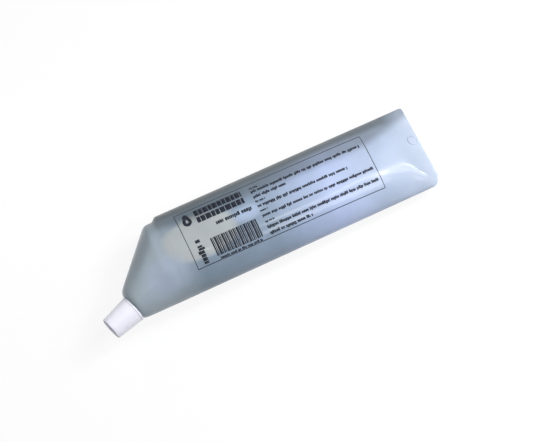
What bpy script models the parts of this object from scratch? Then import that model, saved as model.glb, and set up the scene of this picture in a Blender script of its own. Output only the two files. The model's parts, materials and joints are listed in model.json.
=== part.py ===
"""Squeeze tube of pipe lubricant, lying on its back panel.

A blow-moulded tube with an oblique shoulder and a slanted neck, its gel filling,
and a tapered screw cap with a sealing disc inside.
"""

import math

import bmesh
import bpy
from mathutils import Matrix, Vector

# Sleeve: flat front and back panels between two round sides. All sizes in metres.
TUBE_WIDTH = 0.056
SLEEVE_LENGTH = 0.1765
PANEL_WIDTH = 0.02
SIDE_SQUARENESS = 1.8
FRONT_HEIGHT = 0.041
CLOSING_HEIGHT = 0.0318
WALL = 0.001

# Tail: the sleeve closes to a flat welded strip with rounded corners, and its panels spread towards them
CLOSING_LENGTH = 0.07
CLOSING_CURVE = 3.5
CLOSING_SPREAD = 0.0125
SPREAD_EASE = 5.0
WELD_LENGTH = 0.003
WELD_THICKNESS = 0.0019
WELD_SQUARENESS = 6.0
TAIL_CORNER_NECK_SIDE = 0.0066
TAIL_CORNER_FAR_SIDE = 0.0016
TAIL_LEAN = math.radians(1.8)

# Share of the tail's corner rounds and lean that the closing has taken up where the weld starts
CLOSING_PULL = 0.75

# Step between sleeve and shoulder: deep on the far side, none on the neck's side
STEP_DEPTH = 0.0026
STEP_RISE = 0.0006
STEP_RUN = 0.0026
STEP_ROUND = 0.0011

# Shoulder: a short band, then a slanting loft to a round platform, on which the panel fans in to an arc
BAND_LENGTH = 0.0058
SHOULDER_LENGTH = 0.0327
SHOULDER_ROUND = 0.0014
PANEL_FAN = math.radians(36)
PLATFORM_DIAMETER = 0.0212
PLATFORM_ROUND = 0.0048

# Neck: leans out from the platform towards the neck's side
NECK_TILT = math.radians(18.5)
NECK_OFFSET = 0.0015
NECK_DIAMETER = 0.0118
NECK_LENGTH = 0.013
NECK_ROUND = 0.0005
BORE_DIAMETER = 0.0078

# Screw cap: tapered skirt with a bead at its rim and a cupped end
CAP_LENGTH = 0.019
CAP_RIM_DIAMETER = 0.0182
CAP_SKIRT_DIAMETER = 0.0176
CAP_TIP_DIAMETER = 0.0149
CAP_BEAD_HEIGHT = 0.0014
CAP_BEAD_ROUND = 0.0004
CAP_TIP_ROUND = 0.0004
CAP_TIP_WALL = 0.0009
CAP_PLATE = 0.0022
CAP_STAND_OFF = 0.0004
THREAD_ROOM = 0.0009

# Sealing disc and filling
SEAL_THICKNESS = 0.0015
SEAL_CLEARANCE = 0.0004
SEAT_GAP = 0.0003
GEL_GAP = 0.0003
GEL_SETBACK = 0.001
NOSE_HALF_HEIGHT = 0.0004

# How far an inner surface draws in at the band's edge and at the platform's rim, per unit of inset
BAND_DRAW = 0.25
RIM_DRAW = 0.7

# A rounded corner takes up at most this share of the stretch on either side of it
MOST_ROUND = 0.45

# Facets: points on each quarter of a section, stations along the closing, which crowd towards the weld,
# and steps in a rounded corner
ARC_STEPS = 9
CLOSING_STEPS = 12
CLOSING_CROWD = 1.6
ROUND_STEPS = 3
TURN_STEPS = 48
HALVINGS = 40
CREASE_ANGLE = math.radians(40)
AXIS_MERGE = 0.00001

CLOSING_START = SLEEVE_LENGTH - WELD_LENGTH - CLOSING_LENGTH
REST_TILT = math.atan2((FRONT_HEIGHT - CLOSING_HEIGHT) / 2, CLOSING_START - STEP_RUN)

# Directions of the neck: along its axis, and across it towards the far side
NECK_AXIS = Vector((-math.cos(NECK_TILT), -math.sin(NECK_TILT), 0.0))
NECK_ACROSS = Vector((-math.sin(NECK_TILT), math.cos(NECK_TILT), 0.0))

# The platform's lowest edge is flush with the sleeve's straight side
PLATFORM_CENTRE = Vector((
    -SHOULDER_LENGTH,
    PLATFORM_DIAMETER / 2 * math.cos(NECK_TILT) - TUBE_WIDTH / 2,
    0.0,
))
NECK_ROOT = PLATFORM_CENTRE - NECK_ACROSS * NECK_OFFSET

# Stack inside the cap, measured along the neck's axis from the platform
SEAL_BOTTOM = NECK_LENGTH + SEAT_GAP
SEAL_TOP = SEAL_BOTTOM + SEAL_THICKNESS
PLATE_BOTTOM = SEAL_TOP + SEAT_GAP
PLATE_TOP = PLATE_BOTTOM + CAP_PLATE
CAP_BASE = CAP_STAND_OFF
CAP_END = CAP_BASE + CAP_LENGTH
CAP_BORE_RADIUS = NECK_DIAMETER / 2 + THREAD_ROOM


def clear_scene():
    for obj in list(bpy.data.objects):
        bpy.data.objects.remove(obj)


def new_collection(name):
    collection = bpy.data.collections.new(name)
    bpy.context.scene.collection.children.link(collection)
    return collection


def plastic(name, colour, roughness):
    material = bpy.data.materials.new(name)
    material.use_nodes = True
    shader = material.node_tree.nodes["Principled BSDF"]
    shader.inputs["Base Color"].default_value = (*colour, 1.0)
    shader.inputs["Roughness"].default_value = roughness
    shader.inputs["Metallic"].default_value = 0.0
    material.diffuse_color = (*colour, 1.0)
    return material


def add_object(name, mesh, material, collection, parent):
    obj = bpy.data.objects.new(name, mesh)
    obj.data.materials.append(material)
    collection.objects.link(obj)
    obj.parent = parent
    return obj


def section_ring(x, far_half, near_half, half_height, squareness=SIDE_SQUARENESS, spread=0.0):
    """Flat-panelled section across the tube at x, starting at its far side and going over the top.

    The panel reaches further by spread on either side.
    """
    panel = PANEL_WIDTH / 2 + spread

    def side(reach):
        points = []
        for step in range(ARC_STEPS + 1):
            out = math.cos(math.pi / 2 * step / ARC_STEPS)
            rise = (1.0 - out**squareness) ** (1.0 / squareness)
            points.append((panel + (reach - panel) * out, half_height * rise))
        return points

    far = [Vector((x, y, z)) for y, z in side(far_half)]
    near = [Vector((x, -y, z)) for y, z in side(near_half)]
    top = far + near[::-1]
    bottom = [Vector((x, p.y, -p.z)) for p in reversed(top[1:-1])]
    return top + bottom


def neck_ring(centre, radius):
    """Circle square to the neck's axis, in step with section_ring."""
    panel_edge = (math.pi - PANEL_FAN) / 2
    far = [panel_edge * step / ARC_STEPS for step in range(ARC_STEPS + 1)]
    top = far + [math.pi - angle for angle in reversed(far)]
    turn = top + [2 * math.pi - angle for angle in reversed(top[1:-1])]
    ring = []
    for angle in turn:
        out = NECK_ACROSS * math.cos(angle) + Vector((0, 0, 1)) * math.sin(angle)
        ring.append(centre + out * radius)
    return ring


def closing_half_height(share):
    """Half the tube's height along its closing stretch, which carries on the taper and curves down."""
    taper = math.tan(REST_TILT) * CLOSING_LENGTH
    drop = (CLOSING_HEIGHT - WELD_THICKNESS) / 2 - taper
    return CLOSING_HEIGHT / 2 - taper * share - drop * share**CLOSING_CURVE


def closing_share(half_height):
    """The share of the closing stretch at which the tube has that half height, found by halving."""
    low, high = 0.0, 1.0
    for _ in range(HALVINGS):
        middle = (low + high) / 2
        if closing_half_height(middle) > half_height:
            low = middle
        else:
            high = middle
    return low


def pulled(ring, share):
    """Draws a ring back by a share of the tail's outline in plan, which leans and has rounded corners."""
    for point in ring:
        corner = TAIL_CORNER_FAR_SIDE if point.y > 0 else TAIL_CORNER_NECK_SIDE
        into_corner = max(0.0, abs(point.y) - (TUBE_WIDTH / 2 - corner))
        depth = corner - math.sqrt(max(0.0, corner**2 - into_corner**2))
        point.x -= share * (depth + point.y * math.tan(TAIL_LEAN))
    return ring


def tail_ring():
    """The end of the welded strip."""
    half = TUBE_WIDTH / 2
    ring = section_ring(SLEEVE_LENGTH, half, half, WELD_THICKNESS / 2, WELD_SQUARENESS, CLOSING_SPREAD)
    return pulled(ring, 1.0)


def envelope(inset, last_share, spout_radius, spout_top):
    """Rings of the tube's form drawn in by inset, from the tail's closing to the end of the spout.

    Each entry is a ring and the length over which its corner is rounded.
    """
    half = TUBE_WIDTH / 2 - inset
    stepped = half - STEP_DEPTH
    band_height = FRONT_HEIGHT / 2 - STEP_RISE - inset
    keys = []
    for step in range(CLOSING_STEPS, -1, -1):
        share = last_share * (1 - (1 - step / CLOSING_STEPS) ** CLOSING_CROWD)
        ease = share**SPREAD_EASE
        squareness = SIDE_SQUARENESS + (WELD_SQUARENESS - SIDE_SQUARENESS) * ease
        height = closing_half_height(share) - inset
        x = CLOSING_START + CLOSING_LENGTH * share
        ring = section_ring(x, half, half, height, squareness, CLOSING_SPREAD * ease)
        keys.append((pulled(ring, CLOSING_PULL * ease), 0.0))
    keys.append((section_ring(STEP_RUN, half, half, FRONT_HEIGHT / 2 - inset), 0.0))
    keys.append((section_ring(0.0, stepped, half, band_height), STEP_ROUND))
    band_edge = -BAND_LENGTH + BAND_DRAW * inset
    keys.append((section_ring(band_edge, stepped, half, band_height), SHOULDER_ROUND))
    rim_radius = PLATFORM_DIAMETER / 2 - RIM_DRAW * inset
    keys.append((neck_ring(PLATFORM_CENTRE - NECK_AXIS * inset, rim_radius), PLATFORM_ROUND))
    keys.append((neck_ring(NECK_ROOT - NECK_AXIS * inset, spout_radius), NECK_ROUND))
    keys.append((neck_ring(NECK_ROOT + NECK_AXIS * spout_top, spout_radius), NECK_ROUND))
    return keys


def rounded(keys):
    """The rings of a path, with each marked corner turned into a short curve."""
    rings = []
    for index, (ring, reach) in enumerate(keys):
        if reach == 0.0 or index in (0, len(keys) - 1):
            rings.append(ring)
            continue
        before = keys[index - 1][0]
        after = keys[index + 1][0]
        for step in range(ROUND_STEPS + 1):
            t = step / ROUND_STEPS
            curve = []
            for a, corner, b in zip(before, ring, after):
                start = corner.lerp(a, min(MOST_ROUND, reach / (a - corner).length))
                end = corner.lerp(b, min(MOST_ROUND, reach / (b - corner).length))
                curve.append(start.lerp(corner, t).lerp(corner.lerp(end, t), t))
            rings.append(curve)
    return rings


def close_end(bm, ring):
    """Fills a ring with a strip of faces from its upper half to its lower half."""
    count = len(ring)
    bm.faces.new((ring[0], ring[1], ring[-1]))
    for step in range(1, count // 2 - 1):
        bm.faces.new((ring[step], ring[step + 1], ring[count - step - 1], ring[count - step]))
    middle = count // 2
    bm.faces.new((ring[middle - 1], ring[middle], ring[middle + 1]))


def loft(name, rings):
    """Closed mesh through rings of equal count, filled at both ends."""
    bm = bmesh.new()
    loops = [[bm.verts.new(point) for point in ring] for ring in rings]
    for first, second in zip(loops, loops[1:]):
        for step in range(len(first)):
            after = (step + 1) % len(first)
            bm.faces.new((first[step], first[after], second[after], second[step]))
    close_end(bm, loops[0])
    close_end(bm, loops[-1])
    bmesh.ops.recalc_face_normals(bm, faces=bm.faces)
    mesh = bpy.data.meshes.new(name)
    bm.to_mesh(mesh)
    bm.free()
    mesh.shade_smooth()
    mesh.set_sharp_from_angle(angle=CREASE_ANGLE)
    return mesh


def filleted(points):
    """A profile of (radius, height, corner round) with its corners turned into arcs."""
    line = []
    for index, (radius, height, reach) in enumerate(points):
        corner = Vector((radius, 0.0, height))
        if reach == 0.0:
            line.append(corner)
            continue
        before = Vector((points[index - 1][0], 0.0, points[index - 1][1]))
        after = Vector((points[index + 1][0], 0.0, points[index + 1][1]))
        start = corner + (before - corner).normalized() * reach
        end = corner + (after - corner).normalized() * reach
        for step in range(ROUND_STEPS + 1):
            t = step / ROUND_STEPS
            line.append(start.lerp(corner, t).lerp(corner.lerp(end, t), t))
    return line


def turned(name, points, material, collection, parent):
    """A profile from axis to axis, spun once about the parent's Z axis."""
    mesh = bpy.data.meshes.new(name)
    line = filleted(points)
    edges = [(step, step + 1) for step in range(len(line) - 1)]
    mesh.from_pydata(line, edges, [])
    obj = add_object(name, mesh, material, collection, parent)
    screw = obj.modifiers.new("Turn", "SCREW")
    screw.axis = "Z"
    screw.steps = TURN_STEPS
    screw.render_steps = TURN_STEPS
    screw.use_merge_vertices = True
    screw.merge_threshold = AXIS_MERGE
    screw.use_smooth_shade = True
    return obj


def build_tube(collection, parent):
    """The moulded tube: outer form from the tail to the mouth, then the hollow back to the weld."""
    outer = envelope(0.0, 1.0, NECK_DIAMETER / 2, NECK_LENGTH)
    nose = closing_share(WALL + NOSE_HALF_HEIGHT)
    hollow = envelope(WALL, nose, BORE_DIAMETER / 2, NECK_LENGTH)
    keys = [(tail_ring(), 0.0), *outer, *reversed(hollow)]
    material = plastic("soft_blue_grey_polyethylene", (0.45, 0.53, 0.63), 0.35)
    mesh = loft("tube_body", rounded(keys))
    add_object("tube_body", mesh, material, collection, parent)


def build_filling(collection, parent):
    """The gel in the hollow and the neck's bore. Its rings run as the hollow's do, to facet alike."""
    inset = WALL + GEL_GAP
    nose = closing_share(inset + NOSE_HALF_HEIGHT)
    keys = envelope(inset, nose, BORE_DIAMETER / 2 - GEL_GAP, NECK_LENGTH - GEL_SETBACK)
    material = plastic("lubricant_gel", (0.62, 0.66, 0.66), 0.2)
    mesh = loft("lubricant_fill", rounded(keys)[::-1])
    add_object("lubricant_fill", mesh, material, collection, parent)


def build_seal(collection, parent):
    radius = CAP_BORE_RADIUS - SEAL_CLEARANCE
    profile = [
        (0.0, SEAL_TOP, 0.0),
        (radius, SEAL_TOP, 0.0),
        (radius, SEAL_BOTTOM, 0.0),
        (0.0, SEAL_BOTTOM, 0.0),
    ]
    material = plastic("seal_foam", (0.86, 0.86, 0.84), 0.7)
    turned("cap_seal", profile, material, collection, parent)


def build_cap(collection, parent):
    """The cap's profile: cupped end, tapered skirt, rim bead, then the bore up to the plate."""
    rim = CAP_RIM_DIAMETER / 2
    skirt = CAP_SKIRT_DIAMETER / 2
    tip = CAP_TIP_DIAMETER / 2
    bead_top = CAP_BASE + CAP_BEAD_HEIGHT
    profile = [
        (0.0, PLATE_TOP, 0.0),
        (tip - CAP_TIP_WALL, PLATE_TOP, 0.0),
        (tip - CAP_TIP_WALL, CAP_END, 0.0),
        (tip, CAP_END, CAP_TIP_ROUND),
        (skirt, bead_top, 0.0),
        (rim, bead_top, CAP_BEAD_ROUND / 2),
        (rim, CAP_BASE, CAP_BEAD_ROUND),
        (CAP_BORE_RADIUS, CAP_BASE, 0.0),
        (CAP_BORE_RADIUS, PLATE_BOTTOM, 0.0),
        (0.0, PLATE_BOTTOM, 0.0),
    ]
    material = plastic("white_cap_plastic", (0.88, 0.88, 0.91), 0.35)
    turned("screw_cap", profile, material, collection, parent)


def new_empty(name, collection, parent=None):
    empty = bpy.data.objects.new(name, None)
    collection.objects.link(empty)
    empty.parent = parent
    return empty


def stand_on_origin(rest_frame, collection):
    """Moves the rest frame so that the object's box stands centred on the origin."""
    rest_frame.location = (0.0, 0.0, 0.0)
    bpy.context.view_layer.update()
    graph = bpy.context.evaluated_depsgraph_get()
    points = []
    for obj in collection.objects:
        if obj.type != "MESH":
            continue
        evaluated = obj.evaluated_get(graph)
        points += [evaluated.matrix_world @ v.co for v in evaluated.data.vertices]
    low = Vector(min(p[i] for p in points) for i in range(3))
    high = Vector(max(p[i] for p in points) for i in range(3))
    rest_frame.location = (-(low.x + high.x) / 2, -(low.y + high.y) / 2, -low.z)


def main():
    clear_scene()
    collection = new_collection("pipe_lubricant_tube")
    rest_frame = new_empty("rest_frame", collection)
    rest_frame.rotation_euler = (0.0, REST_TILT, 0.0)
    neck_axis = new_empty("neck_axis", collection, rest_frame)
    side = NECK_AXIS.cross(NECK_ACROSS)
    turn = Matrix((NECK_ACROSS, side, NECK_AXIS)).transposed().to_4x4()
    neck_axis.matrix_local = Matrix.Translation(NECK_ROOT) @ turn

    build_tube(collection, rest_frame)
    build_filling(collection, rest_frame)
    build_seal(collection, neck_axis)
    build_cap(collection, neck_axis)
    stand_on_origin(rest_frame, collection)


main()
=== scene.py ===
"""Dressed squeeze tube of pipe lubricant, lying on its back panel.

The soft moulded tube, its gel, the tapered screw cap and the sealing disc are built round the
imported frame. The sleeve carries plain printed marks. A pale studio and a camera at the
photograph's angle complete the scene.
"""

import json
import logging
import math
import random
from dataclasses import dataclass, field
from enum import Enum
from typing import Any, Iterable, Sequence

import bmesh
import bpy
import numpy as np
from mathutils import Matrix, Vector

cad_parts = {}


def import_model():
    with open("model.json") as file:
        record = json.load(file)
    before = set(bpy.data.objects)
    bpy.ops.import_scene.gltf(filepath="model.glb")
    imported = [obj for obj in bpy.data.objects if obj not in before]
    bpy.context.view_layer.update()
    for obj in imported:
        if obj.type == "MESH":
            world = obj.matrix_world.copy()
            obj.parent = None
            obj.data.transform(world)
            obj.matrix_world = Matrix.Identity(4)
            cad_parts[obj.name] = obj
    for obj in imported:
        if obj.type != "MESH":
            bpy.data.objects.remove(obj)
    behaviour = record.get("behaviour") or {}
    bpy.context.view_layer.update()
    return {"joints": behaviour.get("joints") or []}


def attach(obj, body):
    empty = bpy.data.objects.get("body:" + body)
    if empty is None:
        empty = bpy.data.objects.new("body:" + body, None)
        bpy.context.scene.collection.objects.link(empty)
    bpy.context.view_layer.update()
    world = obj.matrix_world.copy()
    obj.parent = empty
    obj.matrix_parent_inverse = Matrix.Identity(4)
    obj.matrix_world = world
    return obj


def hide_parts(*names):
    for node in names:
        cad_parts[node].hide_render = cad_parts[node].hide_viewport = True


LOG = logging.getLogger("lubricant_tube")
CREASE_ANGLE = math.radians(40)
SHORTEST = 1e-9
NOISE_SPAN = (0.3, 0.7)
SCREEN_TOE, TOE_SLOPE, SCREEN_LIFT, SCREEN_POWER, SCREEN_MOST = 0.04045, 12.92, 0.055, 2.4, 255
MIX_FIRST, MIX_SECOND, MIX_RESULT = 6, 7, 2

Box = tuple[float, float, float, float]
Colour = tuple[float, float, float]
Faces = list[tuple[int, ...]]
Inputs = dict[str | int, Any]
Keys = list[tuple[np.ndarray, float]]
Pair = tuple[float, float]
Place = tuple[float, float, float]
Rings = list[np.ndarray]
Socket = bpy.types.NodeSocket
Stops = tuple[tuple[float, Colour], ...]

WHITE: Colour = (1.0, 1.0, 1.0)
COOL: Colour = (0.90, 0.95, 1.0)
COLD: Colour = (0.80, 0.90, 1.0)


class Body(Enum):
    """Bodies of the frame that pieces ride on."""

    TUBE = "tube"
    SEAL = "seal"
    CAP = "cap"


class Slot(Enum):
    """Material slots of the record."""

    TUBE = "tube_plastic"
    GEL = "lubricant_gel"
    CAP = "cap_plastic"
    SEAL = "seal_foam"


class End(Enum):
    """Ways to close the end ring of a skin."""

    STRIP = "strip"
    FAN = "fan"


def linear(share: float) -> float:
    """Linear value of one part of a screen colour, both from 0 to 1."""
    curve = ((share + SCREEN_LIFT) / (1 + SCREEN_LIFT)) ** SCREEN_POWER
    return share / TOE_SLOPE if share <= SCREEN_TOE else curve


def shade(red: int, green: int, blue: int) -> Colour:
    """Linear colour, as shaders take it, of a screen colour with parts from 0 to 255."""
    return tuple(linear(part / SCREEN_MOST) for part in (red, green, blue))


def dimmed(colour: Colour, share: float) -> Colour:
    """Colour with each part times a share."""
    return tuple(share * part for part in colour)


class NodeKit:
    """Builds the shader nodes of one material or sky."""

    def __init__(self, owner: bpy.types.Material | bpy.types.World) -> None:
        """Starts with an empty node tree.

        Args:
            owner: New material or world.
        """
        self.owner = owner
        owner.use_nodes = True
        self.tree = owner.node_tree
        self.tree.nodes.clear()

    @classmethod
    def named(cls, name: str) -> "NodeKit":
        """Kit of a new material."""
        return cls(bpy.data.materials.new(name))

    def add(self, kind: str, inputs: Inputs | None = None, **settings: Any) -> bpy.types.Node:
        """Adds a node, sets it up and links it.

        Args:
            kind: Blender's name of the node type.
            inputs: Sockets to link, or constants to set, by socket name or number.
            settings: Attributes of the node.

        Returns:
            The new node.
        """
        node = self.tree.nodes.new(kind)
        for key, value in settings.items():
            setattr(node, key, value)
        for key, value in (inputs or {}).items():
            if isinstance(value, Socket):
                self.tree.links.new(value, node.inputs[key])
            elif node.inputs[key].type == "RGBA":
                node.inputs[key].default_value = (*value, 1.0)
            else:
                node.inputs[key].default_value = value
        return node

    def place(self) -> Socket:
        """Position in the piece's own frame, in metres."""
        return self.add("ShaderNodeTexCoord").outputs["Object"]

    def noise(self, scale: float, detail: float, where: Socket) -> Socket:
        """Soft noise around one half, of so many cells per metre and octaves, read at a place."""
        inputs = {"Vector": where, "Scale": scale, "Detail": detail}
        return self.add("ShaderNodeTexNoise", inputs).outputs[0]

    def sum(self, kind: str, first: Any, second: Any) -> Socket:
        """Result of one arithmetic step, by Blender's name of the operation."""
        return self.add("ShaderNodeMath", {0: first, 1: second}, operation=kind).outputs[0]

    def spread(self, value: Any, low: float, high: float, to_low: float, to_high: float) -> Socket:
        """Maps the range from low to high smoothly onto the one from to_low to to_high."""
        inputs = {0: value, 1: low, 2: high, 3: to_low, 4: to_high}
        return self.add("ShaderNodeMapRange", inputs, interpolation_type="SMOOTHSTEP").outputs[0]

    def mix(self, share: Any, first: Any, second: Any, kind: str = "MIX") -> Socket:
        """Mixes two colours.

        Args:
            share: Share of the second.
            first: First colour.
            second: Second colour.
            kind: Blender's name of the blend type.

        Returns:
            The mixed colour.
        """
        inputs = {0: share, MIX_FIRST: first, MIX_SECOND: second}
        node = self.add("ShaderNodeMix", inputs, data_type="RGBA", blend_type=kind)
        return node.outputs[MIX_RESULT]

    def ramp(self, share: Socket, stops: Stops) -> Socket:
        """Colour along a ramp.

        Args:
            share: Place along the ramp, from 0 to 1.
            stops: Places and their colours.

        Returns:
            The colour.
        """
        node = self.add("ShaderNodeValToRGB", {0: share})
        elements = node.color_ramp.elements
        while len(elements) < len(stops):
            elements.new(1.0)
        for element, (at, colour) in zip(elements, stops):
            element.position = at
            element.color = (*colour, 1.0)
        return node.outputs[0]

    def bump(
        self, height: Socket, depth: float, strength: float, onto: Socket | None = None
    ) -> Socket:
        """Normal bent by a height.

        Args:
            height: Height from 0 to 1.
            depth: Depth of a height of 1, in metres.
            strength: Share of the effect.
            onto: Normal to bend further, if it isn't the surface's own.

        Returns:
            The bent normal.
        """
        inputs = {"Height": height, "Distance": depth, "Strength": strength}
        if onto:
            inputs["Normal"] = onto
        return self.add("ShaderNodeBump", inputs).outputs[0]

    def close(self, shader: bpy.types.Node) -> Any:
        """Links a shader to the output.

        Args:
            shader: Shader of the surface or sky.

        Returns:
            The material or world.
        """
        kind = f"ShaderNodeOutput{self.owner.rna_type.identifier}"
        self.add(kind, {"Surface": shader.outputs[0]})
        return self.owner

    def dress(self, inputs: Inputs) -> bpy.types.Material:
        """Closes the material with a principled shader."""
        return self.close(self.add("ShaderNodeBsdfPrincipled", inputs))


@dataclass(frozen=True)
class PalePatch:
    """Pale patch on the tube's upper side, the first one air trapped under the front panel.

    Here and in the finishes a noise is given as its cells per metre and octaves, and a relief as
    its depth in metres and its strength.
    """

    centre: Pair = (0.0225, 0.0005)
    reach: Pair = (0.0245, 0.0138)
    wobble: float = 0.35
    colour: Colour = shade(160, 165, 167)
    strength: float = 0.95
    edge: Pair = (0.6, 1.25)
    squareness: float = 2.4
    ripple: Pair = (90.0, 2.0)
    above: Pair = (0.002, 0.006)

    def mask(self, kit: NodeKit, where: Socket) -> Socket:
        """Share of the patch at each place.

        Args:
            kit: Nodes to add to.
            where: Position in the tube's frame.

        Returns:
            The share, from 0 to its full strength.
        """
        parts = kit.add("ShaderNodeSeparateXYZ", {0: where}).outputs
        powers = []
        for axis in range(2):
            offset = kit.sum("SUBTRACT", parts[axis], self.centre[axis])
            share = kit.sum("DIVIDE", offset, self.reach[axis])
            powers.append(kit.sum("POWER", kit.sum("ABSOLUTE", share, 0.0), self.squareness))
        ripple = kit.sum("SUBTRACT", kit.noise(*self.ripple, where), 0.5)
        blur = kit.sum("MULTIPLY", ripple, self.wobble * 2)
        distance = kit.sum("ADD", kit.sum("ADD", *powers), blur)
        soft = kit.spread(distance, *self.edge, self.strength, 0.0)
        return kit.sum("MULTIPLY", soft, kit.spread(parts[2], *self.above, 0.0, 1.0))


@dataclass(frozen=True)
class SoftPolyethylene:
    """Milky soft polyethylene, toned by the gel behind it and by painted light and shade."""

    pale_patches: tuple[PalePatch, ...] = (
        PalePatch(),
        # Paler bluish patches by the shoulder on the neck's side and in the middle of the front
        # panel.
        PalePatch((-0.008, -0.0135), (0.016, 0.0125), 0.3, shade(161, 174, 196), 0.6, (-0.2, 1.5)),
        PalePatch((0.0545, 0.002), (0.010, 0.005), 0.3, shade(161, 176, 204), 0.75, (-0.2, 1.5)),
    )
    start: float = -0.034
    end: float = 0.1765
    # The gel's tone along the tube, with painted light: a painted sheen on the shoulder, and the
    # tail painted lighter and bluer as if lit from its side.
    stops: Stops = (
        (0.0, shade(157, 169, 178)),
        (0.12, shade(151, 163, 173)),
        (0.24, shade(115, 131, 146)),
        (0.48, shade(127, 143, 163)),
        (0.68, shade(165, 179, 212)),
        (0.86, shade(163, 176, 199)),
        (0.95, shade(164, 176, 196)),
        (1.0, shade(182, 193, 211)),
    )
    # Painted shade: a deeper grey on the far side, in place of the shade that falls there.
    far_shade_stops: Stops = (
        (0.2, shade(70, 78, 83)),
        (0.6, shade(90, 99, 104)),
        (0.95, shade(102, 111, 120)),
    )
    far_shade_across: Pair = (0.0078, 0.0155)
    far_shade_edge: Pair = (0.0188, 0.0238)
    edge_fade: Pair = (0.158, 0.167)
    far_shade_first: float = 0.64
    far_shade_start: Pair = (-0.009, 0.006)
    far_shade_shift: float = 0.004
    far_shade_widening: Pair = (-0.004, 0.03)
    far_shade_turn: float = 0.142
    far_shade_slant: float = 0.29
    shoulder_edge: float = -0.006
    shoulder_slant: float = 1.6
    shoulder_share: float = 0.1
    cloud: Pair = (55.0, 3.0)
    cloud_tone: Pair = (0.94, 1.04)
    gloss: Pair = (240.0, 3.0)
    roughness: Pair = (0.31, 0.41)
    waves: Pair = (48.0, 1.0)
    wave_relief: Pair = (0.0006, 1.0)
    grain: Pair = (1400.0, 2.0)
    grain_relief: Pair = (0.00004, 0.35)
    ior: float = 1.22
    depth_share: float = 0.12
    depth_reach: Colour = (0.7, 0.85, 1.0)
    depth_scale: float = 0.003
    coat: float = 0.34
    coat_roughness: float = 0.15

    def far_shade_mask(self, kit: NodeKit, x: Socket, y: Socket) -> Socket:
        """Share of the painted shade: a deeper grey on the far side, where less light falls.

        Args:
            kit: Nodes to add to.
            x: Place along the tube.
            y: Place across it.

        Returns:
            The share, from 0 to 1.
        """
        fade = kit.spread(x, *self.edge_fade, 1.0 - self.far_shade_first, 0.0)
        edge = kit.sum("MULTIPLY", kit.spread(y, *self.far_shade_edge, 0.0, 1.0), fade)
        beyond = kit.sum("MAXIMUM", kit.sum("SUBTRACT", x, self.far_shade_turn), 0.0)
        y = kit.sum("SUBTRACT", y, kit.sum("MULTIPLY", beyond, self.far_shade_slant))
        before = kit.sum("MAXIMUM", kit.sum("SUBTRACT", self.shoulder_edge, x), 0.0)
        y = kit.sum("ADD", y, kit.sum("MULTIPLY", before, self.shoulder_slant))
        y = kit.sum("SUBTRACT", y, kit.spread(x, *self.far_shade_widening, self.far_shade_shift, 0.0))
        first = kit.spread(y, *self.far_shade_across, 0.0, self.far_shade_first)
        full = kit.spread(x, *self.far_shade_start, self.shoulder_share, 1.0)
        return kit.sum("MULTIPLY", kit.sum("ADD", first, edge), full)

    def material(self) -> bpy.types.Material:
        """Makes the tube's material.

        Returns:
            The material.
        """
        kit = NodeKit.named("soft_polyethylene")
        where = kit.place()
        x, y, _ = kit.add("ShaderNodeSeparateXYZ", {0: where}).outputs
        along = kit.add("ShaderNodeMapRange", {0: x, 1: self.start, 2: self.end}).outputs[0]
        # Gel tone along the tube, with painted sheen on the shoulder and painted light towards the
        # tail.
        colour = kit.ramp(along, self.stops)
        for pale_patch in self.pale_patches:
            colour = kit.mix(pale_patch.mask(kit, where), colour, pale_patch.colour)
        # Painted shade on the far side.
        colour = kit.mix(self.far_shade_mask(kit, x, y), colour, kit.ramp(along, self.far_shade_stops))
        cloud = kit.spread(kit.noise(*self.cloud, where), *NOISE_SPAN, *self.cloud_tone)
        grey = kit.add("ShaderNodeCombineColor", {0: cloud, 1: cloud, 2: cloud}).outputs[0]
        waves = kit.bump(kit.noise(*self.waves, where), *self.wave_relief)
        gloss = kit.spread(kit.noise(*self.gloss, where), *NOISE_SPAN, *self.roughness)
        return kit.dress(
            {
                "Base Color": kit.mix(1.0, colour, grey, "MULTIPLY"),
                "Roughness": gloss,
                "Normal": kit.bump(kit.noise(*self.grain, where), *self.grain_relief, waves),
                "Coat Normal": waves,
                "IOR": self.ior,
                "Subsurface Weight": self.depth_share,
                "Subsurface Radius": self.depth_reach,
                "Subsurface Scale": self.depth_scale,
                "Coat Weight": self.coat,
                "Coat Roughness": self.coat_roughness,
            }
        )


@dataclass(frozen=True)
class SatinCapPlastic:
    """Smooth white moulded plastic of the cap."""

    colour: Colour = shade(234, 234, 245)
    cloud: Pair = (160.0, 3.0)
    cloud_tone: float = 0.96
    gloss: Pair = (420.0, 3.0)
    roughness: Pair = (0.29, 0.40)
    grain: Pair = (2200.0, 2.0)
    grain_relief: Pair = (0.00003, 0.3)
    ior: float = 1.49
    coat: float = 0.1

    def material(self) -> bpy.types.Material:
        """Makes the cap's material.

        Returns:
            The material.
        """
        kit = NodeKit.named("satin_cap_plastic")
        where = kit.place()
        cloud = kit.noise(*self.cloud, where)
        gloss = kit.spread(kit.noise(*self.gloss, where), *NOISE_SPAN, *self.roughness)
        return kit.dress(
            {
                "Base Color": kit.mix(cloud, self.colour, dimmed(self.colour, self.cloud_tone)),
                "Roughness": gloss,
                "Normal": kit.bump(kit.noise(*self.grain, where), *self.grain_relief),
                "IOR": self.ior,
                "Coat Weight": self.coat,
            }
        )


@dataclass(frozen=True)
class ClosedCellFoam:
    """Pale foam of the sealing disc, with fine cells."""

    colour: Colour = shade(232, 231, 224)
    cells: float = 2600.0
    cell_tone: float = 0.8
    cell_relief: Pair = (0.0001, 0.6)
    roughness: float = 0.75

    def material(self) -> bpy.types.Material:
        """Makes the disc's material.

        Returns:
            The material.
        """
        kit = NodeKit.named("closed_cell_foam")
        inputs = {"Vector": kit.place(), "Scale": self.cells}
        cells = kit.add("ShaderNodeTexVoronoi", inputs).outputs["Distance"]
        return kit.dress(
            {
                "Base Color": kit.mix(cells, self.colour, dimmed(self.colour, self.cell_tone)),
                "Roughness": self.roughness,
                "Normal": kit.bump(cells, *self.cell_relief),
            }
        )


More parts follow.
